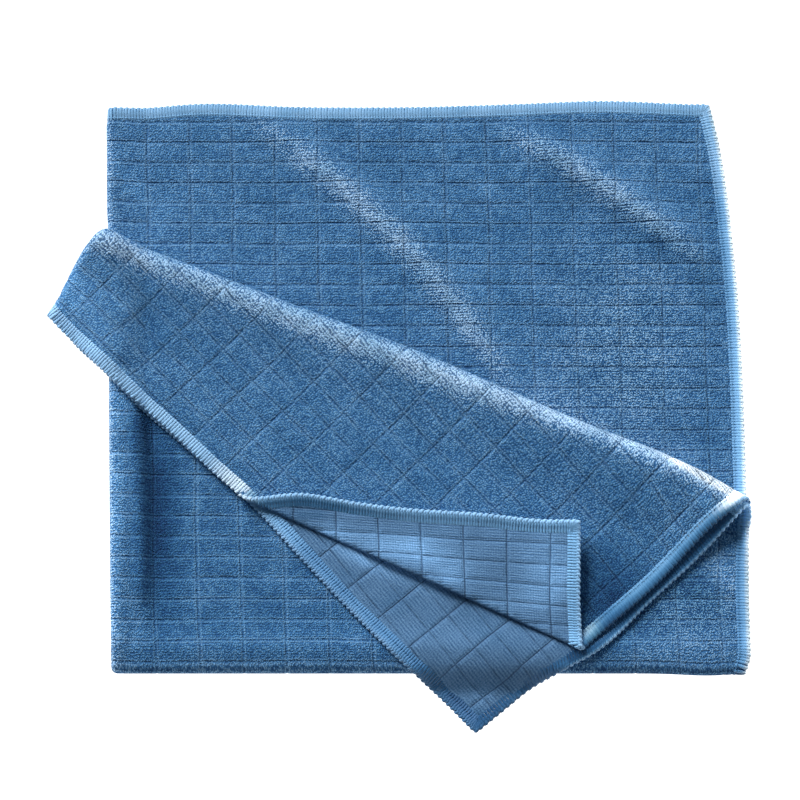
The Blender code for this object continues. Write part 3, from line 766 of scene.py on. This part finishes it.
def tubes(path, beside, wide, high, sides=5):
    """Threads along many paths at once. path and beside, the direction across a thread, are
    (threads, points, 3), and wide and high are (points)."""
    threads, points, _ = path.shape
    tangent = np.gradient(path, axis=1)
    tangent /= np.linalg.norm(tangent, axis=-1, keepdims=True) + 1e-12
    side = beside - tangent * (beside * tangent).sum(-1, keepdims=True)
    side /= np.linalg.norm(side, axis=-1, keepdims=True) + 1e-12
    up = np.cross(side, tangent)
    angle = np.arange(sides) / sides * 2 * math.pi
    ring = (
        side[:, :, None] * (np.cos(angle) * wide[:, None])[None, :, :, None]
        + up[:, :, None] * (np.sin(angle) * high[:, None])[None, :, :, None]
    )
    place = path[:, :, None] + ring
    index = np.arange(threads * points * sides).reshape(threads, points, sides)
    here, there = index[:, :-1], index[:, 1:]
    quads = np.stack([there, np.roll(there, -1, 2), np.roll(here, -1, 2), here], -1).reshape(-1, 4)
    return place.reshape(-1, 3), quads


def thread_paths(starts, profile, runs_along):
    """Threads laid on the hem, one from each start. Gives their paths, the directions across them, and how far
    inside the edge they are."""
    along, inside, height = np.array(profile)[:, :3].T * MM
    stray = STRAY * RANDOM.standard_normal(len(starts))
    s = starts[:, None] + along[None] + stray[:, None]
    d = np.broadcast_to(inside[None], s.shape)
    h = np.broadcast_to(height[None], s.shape)
    path = surface(*beside_edge(s, d), h)
    step_s, step_d = (0.0, ACROSS_STEP) if runs_along else (ACROSS_STEP, 0.0)
    return path, surface(*beside_edge(s + step_s, d + step_d), h) - path, d


# Rows: along the edge, inside it, height above the sheet's middle, half width and half height.
FACE_THREADS = (
    (
        (0.0, 6.5, 0.3, 0.4, 0.16), (0.0, 5.9, 0.6, 0.8, 0.24), (0.0, 5.1, 0.64, 0.85, 0.26),
        (0.01, 4.5, 0.6, 0.75, 0.24), (0.02, 4.0, 0.7, 0.98, 0.28), (0.05, 2.4, 0.8, 1.0, 0.3),
        (0.08, 1.0, 0.76, 0.88, 0.36), (0.14, 0.4, 0.45, 0.9, 0.46), (0.3, 0.25, -0.05, 0.9, 0.5),
        (0.6, 0.5, -0.5, 0.88, 0.45), (0.95, 1.4, -0.74, 0.85, 0.3), (1.1, 2.3, -0.6, 0.5, 0.2),
    ),
    (
        (1.35, 6.4, 0.3, 0.4, 0.16), (1.35, 5.8, 0.6, 0.8, 0.24), (1.35, 5.05, 0.64, 0.85, 0.26),
        (1.36, 4.5, 0.6, 0.75, 0.24), (1.37, 4.0, 0.7, 0.98, 0.28), (1.4, 2.4, 0.78, 1.0, 0.28),
        (1.43, 1.1, 0.7, 0.74, 0.3), (1.5, 0.6, 0.45, 0.62, 0.36), (1.6, 0.55, -0.05, 0.56, 0.36),
        (1.85, 0.8, -0.5, 0.7, 0.34), (2.15, 1.4, -0.72, 0.8, 0.28), (2.3, 2.3, -0.6, 0.5, 0.2),
    ),
)
BACK_THREAD = (
    (0.35, 0.9, -0.5, 0.5, 0.25), (0.4, 1.8, -0.72, 0.9, 0.24), (0.48, 3.0, -0.74, 0.96, 0.22),
    (0.5, 3.9, -0.66, 0.6, 0.2), (0.5, 4.5, -0.7, 0.9, 0.22), (0.45, 5.9, -0.52, 0.7, 0.16),
)
BACK_THREADS = (BACK_THREAD, tuple((row[0] + HALF_STITCH, *row[1:]) for row in BACK_THREAD))
NEEDLE_THREADS = (
    ((-1.15, 5.3, 0.35, 0.15, 0.1), (-0.7, 5.3, 0.7, 0.28, 0.2), (0.0, 5.3, 0.8, 0.32, 0.22),
     (0.7, 5.3, 0.7, 0.28, 0.2), (1.15, 5.3, 0.35, 0.15, 0.1)),
)
STRAY = 0.05 * MM
RANDOM = np.random.default_rng(11)
FLOOR_CLEAR = 0.02 * MM


def stitches(name, crossing, running=()):
    """One mesh of hem threads, some across the hem and some running along it."""
    starts = spaced(STITCH)
    parts, shift = [], 0
    for profile, runs_along in [(p, False) for p in crossing] + [(p, True) for p in running]:
        path, across, inside = thread_paths(starts, profile, runs_along)
        wide, high = np.array(profile)[:, 3:].T * MM
        place, quads = tubes(path, across, wide, high)
        inside = np.repeat(inside.ravel(), len(place) // inside.size)
        parts.append((place, quads + shift, inside, np.repeat(starts, len(place) // len(starts))))
        shift += len(place)
    place, quads, inside, starts = (np.concatenate(part) for part in zip(*parts))
    place[:, 2] = np.maximum(place[:, 2], FLOOR_CLEAR)
    thing = new_mesh(name, place, quads)
    set_shades(thing, place, inside, starts)
    return thing


# ---- Painted light and shade on the hem's threads ----
# Painted highlight on the hem's outermost loops, where the light catches them: its width, where it runs, and
# how much each run of the hem gets.
RIM_WIDTH = 2.6 * MM  # of the outermost loops
RIM_RUN, RIGHT_RIM_RUN, ROLL_RIM_RUN = (1.2, 1.6), (144, 4), (-6, 5)
OTHER_RIM = 0.12
FLAP_LEFT_RIM, FAR_RIM, ARCH_RIM = 0.1, 0.08, 0.75
FLAP_LEFT_PAST = 4 * MM
CREASE_RIM, CREASE_RIM_AT, CREASE_RIM_RIGHT_AT, CREASE_RIM_HALF = 0.6, -3 * MM, -9 * MM, 4.5 * MM
# The pile showing through the right hem further in, partly painted shade, and painted shade on the corner's
# far hem.
RIGHT_PILE_RUN, RIGHT_PILE_SHARE, RIGHT_PILE_UPPER, RIGHT_PILE_Y = (2.2, 0.8), 0.75, 0.35, -60 * MM
CORNER_SHADE, CORNER_SHADE_RUN = 0.8, (0, 12)
HEM_U, HEM_V = 275 * MM, 225 * MM  # further out than these is the right hem, or the far one
CORNER_TIP_U = 268 * MM
# Painted light and shade on the threads: how light they look a distance inside the edge (mm), by how each run
# of the hem faces the light or lies in shade.
FLAP_RIGHT_TONES = ((0, 0.28), (1, 0.38), (2, 0.5), (2.8, 0.66), (3.6, 0.84), (5, 0.92))
UNDER_RIGHT_TONES = ((0, 1.35), (0.8, 1.1), (1.4, 0.3), (7, 0.25))
FLAP_FAR_TONES = ((0, 1.08), (3, 1.2))
LAPEL_FAR_TONES = ((0, 1.25), (1.2, 1), (2.2, 0.78), (3, 0.62), (7, 0.6))
LAPEL_CORNER_TONES = ((0, 1.15), (7, 1.05))
LAPEL_RIGHT_TONES = ((0, 1.3), (7, 1.2))
CORNER_NEAR_TONES = ((0, 0.62),)
CORNER_TIP_TONES = ((0, 0.5), (7, 0.46))
CORNER_FAR_TONES = ((0, 0.92), (7, 0.88))
FAR_TONES = ((0, 0.88), (1.5, 0.86), (3.5, 1), (4.3, 0.96), (5, 0.86), (7, 0.92))
RIGHT_UPPER_TONES = ((0, 1.35), (1.5, 1.25), (3, 0.9), (5, 0.82))
RIGHT_BASE_TONES = ((0, 1.4), (1.5, 1.4), (3, 1.25), (5, 1.05), (7, 0.92))
ARCH_TONES = ((0, 1.9), (3, 1.9), (4, 1.2), (7, 0.8))
# Painted shade near the lapel's crease and painted light at the roll's end, on the flap's right hem.
CREASE_SHADE, CREASE_SHADE_AT, CREASE_SHADE_HALF = 0.4, -16 * MM, 12 * MM
ROLL_END_LIGHT, ROLL_END_AT, ROLL_END_HALF = 0.9, 11 * MM, 6 * MM


def thread_light_and_shade(u, v, inside):
    """Painted light and shade on the threads at flat places beside the outline, a distance inside it."""
    s, _, past, _, _, _ = places(u, v)
    at_right, at_far, over, under = np.abs(u) > HEM_U, v > HEM_V, u > 0, u < 0
    on_lapel = rises(past, -3, 3) * over * (v > 0)
    on_flap = 1 - on_lapel
    over_roll = rises(s, 9, 8) * (v > 0)
    corner = under * rises(past, 6, 6)
    lower = at_right * over * rises(-v, 20, 40)
    arch = at_right * under * (v > 0) * rises(s, -17, 8) * rises(-s, -20, 6)
    tone = np.ones_like(u)
    for share, table in (
        (at_right * over * over_roll * on_flap, FLAP_RIGHT_TONES),
        (at_right * under * over_roll * rises(-past, -12, 6), UNDER_RIGHT_TONES),
        (on_flap * at_far * over * ~at_right, FLAP_FAR_TONES),
        (on_lapel * at_right, LAPEL_RIGHT_TONES),
        (on_lapel * at_far * ~at_right, LAPEL_FAR_TONES),
        (on_lapel * at_far * ~at_right * rises(u, 170, 60), LAPEL_CORNER_TONES),
        (corner * at_far, CORNER_FAR_TONES),
        (under * at_far * rises(-u, 225, 40) * (past > 0), CORNER_NEAR_TONES),
        (corner * at_right * (v > 0), CORNER_NEAR_TONES),
        ((u < -CORNER_TIP_U) * at_far, CORNER_TIP_TONES),
        (v < -HEM_V, FAR_TONES),
        (lower * rises(v, -266, 40), RIGHT_UPPER_TONES),
        (lower * rises(v, -190, 60), RIGHT_BASE_TONES),
        (arch, ARCH_TONES),
    ):
        distances, levels = np.array(table).T
        tone = between(tone, np.interp(inside / MM, distances, levels), share)
    second = at_right * over * (v > 0)
    shade = bell(past, CREASE_SHADE_AT, CREASE_SHADE_HALF) * second
    end = bell(s, ROLL_END_AT, ROLL_END_HALF) * second * rises(inside, *RIM_RUN)
    return tone * (1 - CREASE_SHADE * shade) * (1 + ROLL_END_LIGHT * end)


def set_shades(thing, place, inside, starts):
    """Painted highlight where the light catches the hem's outermost loops; how much of the pile shows through
    further in, partly painted shade, with painted shade on the corner's far hem; and painted light and shade
    on each thread."""
    x, y, _ = place.T
    u, v = beside_edge(starts, np.full(len(starts), HEM_WIDTH / 2))
    s, _, past, _, _, _ = places(u, v)
    far, second = v > 0, (u > 0) & (v > 0)
    right = rises(x, *RIGHT_RIM_RUN) * (1 - far * rises(s, *ROLL_RIM_RUN))
    rim = ease((RIM_WIDTH - inside) / RIM_WIDTH) * between(OTHER_RIM, 1, right)
    flap_left = (v > HEM_V) & (u > 0) & (past < FLAP_LEFT_PAST)
    rim = np.maximum(rim, FLAP_LEFT_RIM * flap_left + FAR_RIM * (v < -HEM_V))
    turn_at = np.where(u > HEM_U, CREASE_RIM_RIGHT_AT, CREASE_RIM_AT)
    rim = np.maximum(rim, CREASE_RIM * bell(past, turn_at, CREASE_RIM_HALF) * second)
    arch = (u > HEM_U) * far * rises(s, 4, 3) * rises(-s, -22, 10)
    rim = np.maximum(rim, ARCH_RIM * arch * rises(inside, *RIM_RUN))
    pile = between(RIGHT_PILE_UPPER, RIGHT_PILE_SHARE, y < RIGHT_PILE_Y)
    through = rises(inside, *RIGHT_PILE_RUN) * right * pile
    corner_shade = CORNER_SHADE * ((u < 0) & far) * rises(past, *CORNER_SHADE_RUN)
    set_attribute(thing, "rim", rim)
    # Pile showing through, partly painted shade, and painted shade on the corner's hem, darken the threads
    # alike.
    set_attribute(thing, "through", np.maximum(through, corner_shade))
    set_attribute(thing, "tone", thread_light_and_shade(u, v, inside))


# ---- Materials ----
class Signal:
    """A value that runs through a material's nodes, with + - * for the nodes that work on it."""

    def __init__(self, make, socket):
        self.make, self.socket = make, socket

    def output(self, name):
        """Another output of the node that it comes from."""
        return Signal(self.make, self.socket.node.outputs[name])

    def __add__(self, other):
        return self.make.math("ADD", self, other)

    def __sub__(self, other):
        return self.make.math("SUBTRACT", self, other)

    def __mul__(self, other):
        return self.make.math("MULTIPLY", self, other)

    def range(self, *limits, kind="SMOOTHSTEP"):
        """Taken from between the first two limits to between the next two, or 0 and 1, and held there."""
        return self.make.node("MapRange", self, *limits, interpolation_type=kind)

    def line(self, *limits):
        return self.range(*limits, kind="LINEAR")


LOOKS = (
    "Base Color", "Normal", "Roughness", "Specular IOR Level", "Sheen Weight", "Sheen Roughness", "Sheen Tint",
)
FLOOR_LOOKS = ("Base Color", "Roughness", "Emission Color", "Emission Strength")


class Maker:
    """A new material, with short names for making its nodes. Colours are three numbers."""

    def __init__(self, name):
        self.material = bpy.data.materials.new(name)
        self.material.use_nodes = True
        self.tree = self.material.node_tree
        self.shader = self.tree.nodes["Principled BSDF"]

    def put(self, socket, value):
        if isinstance(value, Signal):
            self.tree.links.new(value.socket, socket)
        else:
            socket.default_value = (*value, 1.0) if socket.type == "RGBA" else value

    def node(self, kind, *values, output=0, inputs=(), **settings):
        """A node with values in its first inputs, and in others by name. Gives one of its outputs."""
        made = self.tree.nodes.new("ShaderNode" + kind)
        for key, value in settings.items():
            setattr(made, key, value)
        for key, value in [*enumerate(values), *dict(inputs).items()]:
            self.put(made.inputs[key], value)
        return Signal(self, made.outputs[output])

    def math(self, operation, *values, clamp=False):
        return self.node("Math", *values, operation=operation, use_clamp=clamp)

    def vector(self, operation, *values):
        return self.node("VectorMath", *values, operation=operation)

    def attribute(self, name):
        return self.node("Attribute", attribute_name=name, output="Fac")

    def mix(self, factor, first, second):
        return self.node("Mix", data_type="RGBA", inputs={0: factor, 6: first, 7: second}, output=2)

    def noise(self, vector, scale, detail=2.0, roughness=0.5, distortion=0.0, output="Fac"):
        inputs = dict(Vector=vector, Scale=scale, Detail=detail, Roughness=roughness, Distortion=distortion)
        return self.node("TexNoise", inputs=inputs, output=output)

    def bump(self, height, strength, distance, **under):
        return self.node("Bump", inputs=dict(Strength=strength, Distance=distance, Height=height, **under))

    def finish(self, *values, sockets=LOOKS):
        """Fills in the shader. Gives the material."""
        for name, value in zip(sockets, values):
            self.put(self.shader.inputs[name], value)
        return self.material


# Where the colour is darkened as painted shade it turns a deeper blue, and where it is lightened as painted
# light, whiter.
DARK_POWERS, LIGHT_POWERS = (1.9, 1.1, 0.8), (1.2, 1.08, 1.0)


def toned(make, colour, tone):
    """The colour darkened, as painted shade, for a tone below 1, and lightened, as painted light, for one
    above it.
    """
    dark, light = make.math("MINIMUM", tone, 1.0), make.math("MAXIMUM", tone, 1.0)
    powers = [
        make.math("POWER", dark, dark_power) * make.math("POWER", light, light_power)
        for dark_power, light_power in zip(DARK_POWERS, LIGHT_POWERS)
    ]
    return make.vector("MULTIPLY", colour, make.node("CombineXYZ", *powers))


def pattern_mm(make):
    """The pattern's places in mm as a vector, and the distances in mm from the nearest groove each way."""
    uv = make.node("UVMap", uv_map="pattern")
    along_u = make.node("SeparateXYZ", uv)
    away = []
    for blocks, block in ((along_u, BLOCK_U / MM), (along_u.output(1), BLOCK_V / MM)):
        away.append(make.math("ABSOLUTE", blocks - make.math("ROUND", blocks)) * block)
    return make.vector("MULTIPLY", uv, (BLOCK_U / MM, BLOCK_V / MM, 1.0)), away


LOOP_U, LOOP_V = 0.86, 0.98  # mm between the pile's loops
ROW = 1.3  # mm between the rows of loops
RIB_U, RIB_V = 1.15, 1.3  # mm between the ribs of the smooth back
LOOPS_STRAY = (1.1, 1.1, 0.0)  # mm
SOFT_GRID = -150.0, -90.0  # mm along u: from there to the left fold the grid is softer on layers 1 and 4


def pile_material():
    make = Maker("looped_pile")
    place, (to_u, to_v) = pattern_mm(make)
    space = make.node("TexCoord", output="Object")
    strayed = make.vector("MULTIPLY_ADD", make.noise(place, 0.55, output="Color"), LOOPS_STRAY, place)
    along_u = make.node("SeparateXYZ", strayed)
    rows = make.math("SINE", along_u.output(1) * (2 * math.pi / ROW))
    squeezed = make.vector("MULTIPLY", strayed, (1 / LOOP_U, 1 / LOOP_V, 0.0))
    loops = make.node(
        "TexVoronoi", voronoi_dimensions="2D", feature="F1", output="Distance",
        inputs=dict(Vector=squeezed, Scale=1.0, Randomness=0.95),
    )
    tops = loops.range(0.1, 0.62, 1, 0)
    lot = make.node("SeparateColor", loops.output("Color"))
    fuzz = make.noise(space, 1300.0, 2.0, 0.6)
    tufts = make.noise(space, 300.0, 2.0, 0.55, 0.4)
    lean = make.noise(place, 0.055, 3.0, 0.55)
    patchy = make.noise(place, 0.16, 2.0, 0.6)
    painted_highlight = make.attribute("painted_highlight")

    # The blocks: dark grooves, and light flanks beside them.
    dark_u, dark_v = (to.range(0.08, 0.5, 1, 0) for to in (to_u, to_v))
    light_u, light_v = (to.range(0.5, 0.8) * to.range(0.9, 1.4, 1, 0) for to in (to_u, to_v))
    flanks = make.math("MAXIMUM", light_v, light_u)
    grooves = make.math("MAXIMUM", dark_u, dark_v) * patchy.line(0.32, 0.62, 0.35, 1.0)

    height = tops * (lot * 0.5 + 0.6) + tufts * 0.8 + rows * (painted_highlight * 0.18 + 0.16) + fuzz * 0.3
    normal = make.bump(height, 1.0, 0.36 * MM)
    nearest = make.math("MINIMUM", to_u, to_v)
    dip = nearest.range(0.0, 0.85, -1, 0) * patchy.range(0.3, 0.6, 0.4, 1.0)
    normal = make.bump(dip, 1.0, 0.3 * MM, Normal=normal)

    shade = tops * 0.5 + lot * 0.3 + tufts.range(0.3, 0.7) * 0.2 + rows * (painted_highlight * 0.07 + 0.05)
    colour = make.mix(shade.range(0.12, 0.48), (0.022, 0.094, 0.24), (0.056, 0.192, 0.405))
    colour = make.mix(shade.range(0.5, 0.85), colour, (0.18, 0.37, 0.6))
    # Painted highlight on loops that stand up: broadly on the crests, and as fine painted sparkle elsewhere.
    crest = painted_highlight.range(0.4, 0.8)
    specks = make.math("SUBTRACT", 1.0, crest)
    glint = shade.line(0.26, 0.6, 0.1, 1.1) * crest + shade.line(0.42, 0.68, -0.25, 2.2) * specks
    colour = make.mix(make.math("MULTIPLY", painted_highlight * glint, 0.88, clamp=True), colour, (0.42, 0.63, 0.88))
    # Painted highlight, nearly white, where the roll's end catches the light.
    white = painted_highlight.range(1.35, 2.8) * shade.range(0.1, 0.5, 0.45, 1.0)
    colour = make.mix(white, colour, (0.82, 0.92, 1.0))
    side = make.math("MAXIMUM", make.math("GREATER_THAN", along_u, 0.0), along_u.range(*SOFT_GRID, 1, 0))
    colour = make.mix(flanks * (side * -0.1 + 0.28), colour, (0.34, 0.56, 0.8))
    colour = make.mix(grooves * (side * 0.2 + 0.32), colour, (0.014, 0.06, 0.165))
    # Painted light and shade from the patches, times a random lean of the pile.
    colour = toned(make, colour, make.attribute("painted_light") * lean.line(0.3, 0.7, 0.8, 1.1))
    return make.finish(colour, normal, 0.85, 0.2, 0.12, 0.5, (0.45, 0.75, 1.0))


def back_material():
    make = Maker("smooth_back")
    place, (to_u, to_v) = pattern_mm(make)
    along_u = make.node("SeparateXYZ", place)
    fuzz = make.noise(place, 1.5, 3.0, 0.7)
    patchy = make.noise(place, 0.22, 2.0, 0.6)
    lean = make.noise(place, 0.08, 3.0, 0.55)
    strayed = make.noise(place, 0.5, 1.0) * 0.9 + along_u.output(1)
    ribs_v = make.math("SINE", strayed * (2 * math.pi / RIB_V))
    ribs_u = make.math("SINE", along_u * (2 * math.pi / RIB_U))
    weave = fuzz * 2.4 + ribs_v * patchy.range(0.35, 0.65, 0.1, 0.42) + ribs_u * 0.12
    line_u = to_u.range(0.1, 0.44, 1, 0)
    line_v = to_v.range(0.08, 0.4, 1, 0) * patchy.range(0.34, 0.6, 0.3, 0.85)
    lines = make.math("MAXIMUM", line_u, line_v)
    normal = make.bump(weave - lines * 1.6, 0.8, 0.22 * MM)
    puffed = make.math("MINIMUM", to_u, to_v).range(0.0, 2.2, -1, 0)
    normal = make.bump(puffed, 1.0, 0.3 * MM, Normal=normal)
    colour = make.mix(weave.line(0.75, 1.75, 0, 1), (0.038, 0.118, 0.255), (0.14, 0.28, 0.47))
    colour = make.mix(lines * 0.72, colour, (0.02, 0.06, 0.14))
    # Painted light and shade from the patches, times a random lean of the weave.
    colour = toned(make, colour, make.attribute("painted_light") * lean.line(0.3, 0.7, 0.88, 1.08))
    return make.finish(colour, normal, 0.75, 0.25, 0.15, 0.4, (0.75, 0.88, 1.0))


def thread_material():
    make = Maker("hem_thread")
    space = make.node("TexCoord", output="Object")
    fibre = make.noise(space, 1400.0, 2.0, 0.6)
    colour = make.mix(fibre, (0.115, 0.3, 0.54), (0.215, 0.455, 0.73))
    # Pile showing through, partly painted shade, then painted highlight on the outermost loops.
    colour = make.mix(make.attribute("through"), colour, (0.048, 0.185, 0.39))
    colour = make.mix(make.attribute("rim"), colour, (0.78, 0.9, 0.97))
    uneven = make.noise(space, 90.0).line(0.3, 0.7, 0.9, 1.1)
    # Painted light and shade on each thread, times a random unevenness.
    colour = toned(make, colour, make.attribute("tone") * uneven)
    return make.finish(colour, make.bump(fibre, 0.5, 0.15 * MM), 0.6, 0.35, 0.35, 0.35, (0.85, 0.93, 1.0))


# ---- Putting it together ----
flat, place, faces, kind, face_count = build_sheet()
cloth = new_mesh("cloth_sheet", place, faces)
set_uv(cloth, flat)
# Where highlights are painted on the pile, and patches of painted light and shade on both faces.
set_attribute(cloth, "painted_highlight", painted_highlight_amount(*flat.T))
shades = [painted_light(*flat[:face_count].T, PAINTED_LIGHT_PATCHES), back_painted_light(*flat[face_count:].T)]
set_attribute(cloth, "painted_light", np.concatenate(shades))
cloth.data.polygons.foreach_set("material_index", kind[: len(cloth.data.polygons)])
cloth.data.materials.append(pile_material())
cloth.data.materials.append(back_material())

hem_face = stitches("hem_face_stitches", FACE_THREADS)
hem_back = stitches("hem_back_stitches", BACK_THREADS, NEEDLE_THREADS)
thread = thread_material()
for piece in (hem_face, hem_back):
    piece.data.materials.append(thread)

for piece in (cloth, hem_face, hem_back):
    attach(piece, "root")
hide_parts("cloth")

floor_mesh = bpy.data.meshes.new("table_top")
floor_mesh.from_pydata([(-6, -6, 0), (6, -6, 0), (6, 6, 0), (-6, 6, 0)], [], [(0, 1, 2, 3)])
floor = bpy.data.objects.new("table_top", floor_mesh)
scene.collection.objects.link(floor)
white = Maker("table_white").finish((0.05, 0.05, 0.05), 0.9, (1.0, 1.0, 1.0), 1.5, sockets=FLOOR_LOOKS)
floor_mesh.materials.append(white)

# ---- Light and camera ----
world = bpy.data.worlds.new("studio")
scene.world = world
world.use_nodes = True
background = world.node_tree.nodes["Background"].inputs
background["Color"].default_value = (0.72, 0.88, 1.0, 1.0)
background["Strength"].default_value = 0.15


def facing(name, data, direction):
    """A lamp or camera whose back is turned to a direction."""
    thing = bpy.data.objects.new(name, data)
    thing.rotation_mode = "QUATERNION"
    thing.rotation_quaternion = direction.to_track_quat("Z", "Y")
    scene.collection.objects.link(thing)
    return thing


for name, shines_from, strength, spread in (
    ("window", (-0.52, 0.77, 0.58), 4.95, 30), ("reflector", (1.0, 0.05, 0.2), 0.8, 20),
):
    lamp = bpy.data.lights.new(name, "SUN")
    lamp.energy, lamp.angle = strength, math.radians(spread)
    facing(name, lamp, Vector(shines_from))

ELEVATION = math.radians(80)
TARGET = Vector((0.1, 4.26, 5.0)) * MM
DISTANCE = 1.605
camera_data = bpy.data.cameras.new("camera")
camera_data.lens, camera_data.sensor_width = 155.25, 36.0
back_off = Vector((0.0, -math.cos(ELEVATION), math.sin(ELEVATION)))
camera = facing("camera", camera_data, back_off)
camera.location = TARGET + back_off * DISTANCE
scene.camera = camera
scene.view_settings.view_transform = "Standard"
